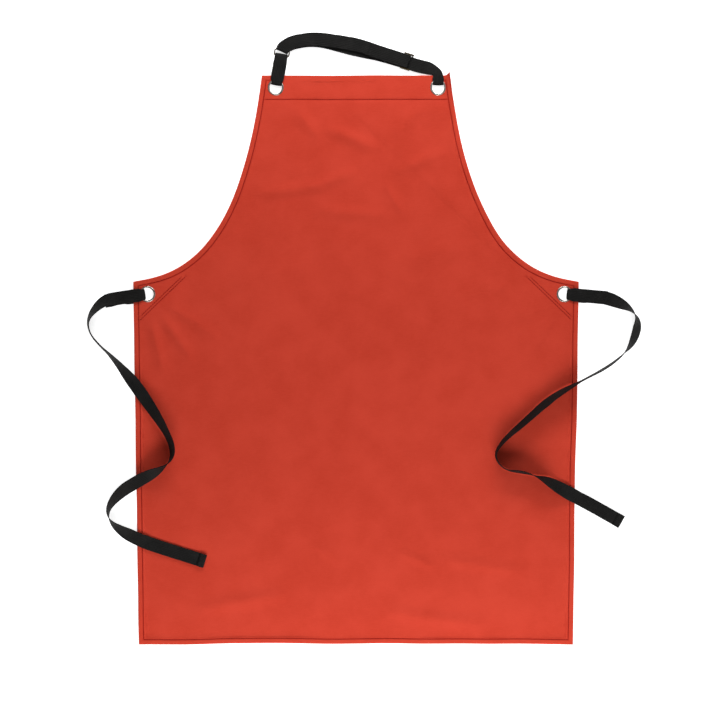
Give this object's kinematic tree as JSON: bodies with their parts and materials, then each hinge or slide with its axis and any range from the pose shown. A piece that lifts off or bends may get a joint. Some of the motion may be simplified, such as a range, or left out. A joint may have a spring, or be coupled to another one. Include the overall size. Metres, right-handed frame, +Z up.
{
  "type": "bib apron",
  "caption": "Flat canvas bib apron with hemmed edges, metal eyelets, webbing waist ties and an adjustable webbing neck strap.",
  "frame": {"origin": "on the surface the apron lies on, under the centre of the cloth's outline", "axes": "+X to the right seen from the front, +Y from the bottom hem towards the bib, +Z up out of the cloth's front face"},
  "size_m": [0.8656, 0.9603, 0.0254],
  "materials": {
    "canvas": "matt plain-weave canvas, brick red, slightly worn",
    "cloth_thread": "dark red sewing thread",
    "webbing": "black ribbed webbing, soft sheen",
    "webbing_thread": "black sewing thread",
    "eyelet_metal": "nickel plated, polished",
    "buckle_metal": "antique brass, satin"
  },
  "bodies": {
    "apron": {"apron_panel": "canvas", "bib_band": "canvas", "armhole_hem_left": "canvas", "armhole_hem_right": "canvas", "side_hem_left": "canvas", "side_hem_right": "canvas", "bottom_hem": "canvas", "waist_patch_left": "canvas", "waist_patch_right": "canvas", "hem_stitching": "cloth_thread", "band_stitching": "cloth_thread", "patch_stitching": "cloth_thread", "eyelet_waist_left": "eyelet_metal", "eyelet_waist_right": "eyelet_metal", "eyelet_bib_left": "eyelet_metal", "eyelet_bib_right": "eyelet_metal", "washer_waist_left": "eyelet_metal", "washer_waist_right": "eyelet_metal", "washer_bib_left": "eyelet_metal", "washer_bib_right": "eyelet_metal", "neck_tab": "webbing", "neck_loop": "webbing"},
    "left_tie": {"waist_tie_left": "webbing", "tie_stitching_left": "webbing_thread"},
    "right_tie": {"waist_tie_right": "webbing", "tie_stitching_right": "webbing_thread"},
    "neck_strap": {"neck_strap": "webbing", "neck_ring": "buckle_metal"},
    "slider": {"neck_slider": "buckle_metal", "strap_end_loop": "webbing", "strap_stitching": "webbing_thread"}
  },
  "joints": [
    {"name": "left_tie_swivel", "type": "hinge", "parent": "apron", "child": "left_tie", "pos_m": [-0.3275, 0.1035, 0.0035], "axis": [0, 0, 1], "range_deg": [-25, 25]},
    {"name": "right_tie_swivel", "type": "hinge", "parent": "apron", "child": "right_tie", "pos_m": [0.3275, 0.1035, 0.0035], "axis": [0, 0, 1], "range_deg": [-25, 25]},
    {"name": "neck_strap_lift", "type": "hinge", "parent": "apron", "child": "neck_strap", "pos_m": [-0.12164, 0.47781, 0.00405], "axis": [0.9962, -0.0872, 0], "range_deg": [0, 90]},
    {"name": "slider_slide", "type": "slide", "parent": "neck_strap", "child": "slider", "axis": [0.9521, -0.3057, 0], "range_m": [-0.02, 0.02]}
  ]
}
